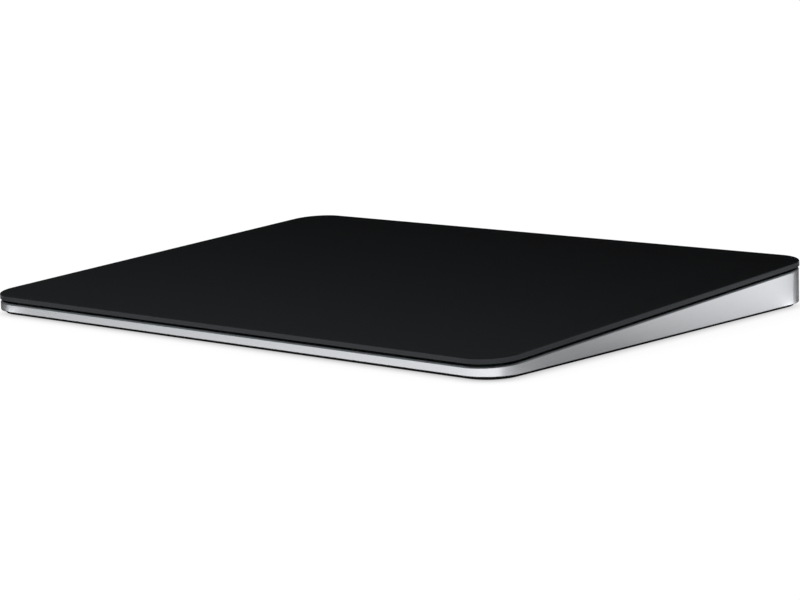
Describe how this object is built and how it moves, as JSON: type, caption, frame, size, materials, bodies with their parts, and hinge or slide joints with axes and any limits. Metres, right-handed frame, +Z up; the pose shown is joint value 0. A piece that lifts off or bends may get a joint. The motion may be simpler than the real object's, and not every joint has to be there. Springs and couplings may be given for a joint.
{
  "type": "desktop trackpad",
  "caption": "Low wedge-shaped desktop trackpad: a floating black glass touch plate on force beams over a milled aluminium tub, with a haptic engine, charging socket and power switch.",
  "frame": {"origin": "on the desk, under the middle of the glass outline", "axes": "+X to the user's right, +Y to the back (the tall edge), +Z up"},
  "size_m": [0.16, 0.1149, 0.0109],
  "materials": {
    "black_glass": "satin",
    "black_print": "matt",
    "circuit_board": "satin",
    "chip_resin": "matt",
    "plug_resin": "matt",
    "steel": "brushed",
    "spring_steel": "brushed",
    "screw_steel": "blackened",
    "iron": "matt",
    "gel": "soft",
    "gauge_film": "satin",
    "aluminium": "blasted and anodised",
    "adhesive": "matt",
    "base_plastic": "matt",
    "foot_rubber": "matt",
    "copper": "enamelled",
    "cell_pouch": "laminated foil",
    "white_tape": "matt",
    "flex_film": "satin",
    "tin_plate": "satin",
    "ferrite": "matt",
    "ceramic_body": "matt",
    "socket_steel": "satin",
    "socket_resin": "matt",
    "gold": "plated",
    "gasket_rubber": "matt",
    "backing_plastic": "matt",
    "green_film": "satin"
  },
  "bodies": {
    "base": {"housing_tub": "aluminium", "base_tape": "adhesive", "base_plate": "base_plastic", "rubber_feet": "foot_rubber", "force_beams": "spring_steel", "strain_gauges": "gauge_film", "beam_screws": "screw_steel", "haptic_tray": "steel", "haptic_cores": "iron", "haptic_coils": "copper", "haptic_screws": "screw_steel", "battery_cell": "cell_pouch", "battery_tapes": "white_tape", "battery_guard_board": "circuit_board", "battery_lead": "flex_film", "logic_board": "circuit_board", "board_screws": "screw_steel", "board_plugs": "plug_resin", "main_processor": "chip_resin", "radio_chip": "chip_resin", "shield_cans": "tin_plate", "charger_chip": "chip_resin", "charger_inductor": "ferrite", "small_components": "ceramic_body", "antenna": "ceramic_body", "touch_ribbon": "flex_film", "socket_shell": "socket_steel", "socket_tongue": "socket_resin", "socket_contacts": "gold", "socket_gasket": "gasket_rubber", "socket_saddle": "steel", "saddle_screws": "screw_steel", "switch_case": "chip_resin", "switch_backing": "backing_plastic", "switch_on_marker": "green_film", "switch_gasket": "gasket_rubber"},
    "pads": {"gel_pads": "gel"},
    "touch_plate": {"glass_plate": "black_glass", "ink_film": "black_print", "touch_sensor_board": "circuit_board", "sensor_chips": "chip_resin", "sensor_plug": "plug_resin", "stiffener_plate": "steel", "haptic_armature": "iron"},
    "power_switch": {"switch_knob": "aluminium", "switch_slider": "plug_resin"}
  },
  "joints": [
    {"name": "plate_press", "type": "slide", "parent": "base", "child": "pads", "axis": [0, 0.053, -0.9986], "range_m": [0, 0.0002], "stiffness_N_per_m": 12000, "springref_m": -0.0003, "deforming": ["force_beams", "strain_gauges", "touch_ribbon"]},
    {"name": "haptic_shake", "type": "slide", "parent": "pads", "child": "touch_plate", "axis": [1, 0, 0], "range_m": [-0.00015, 0.00015], "stiffness_N_per_m": 8000, "deforming": ["gel_pads", "touch_ribbon"]},
    {"name": "power_slide", "type": "slide", "parent": "base", "child": "power_switch", "axis": [1, 0, 0], "range_m": [0, 0.0032]}
  ]
}
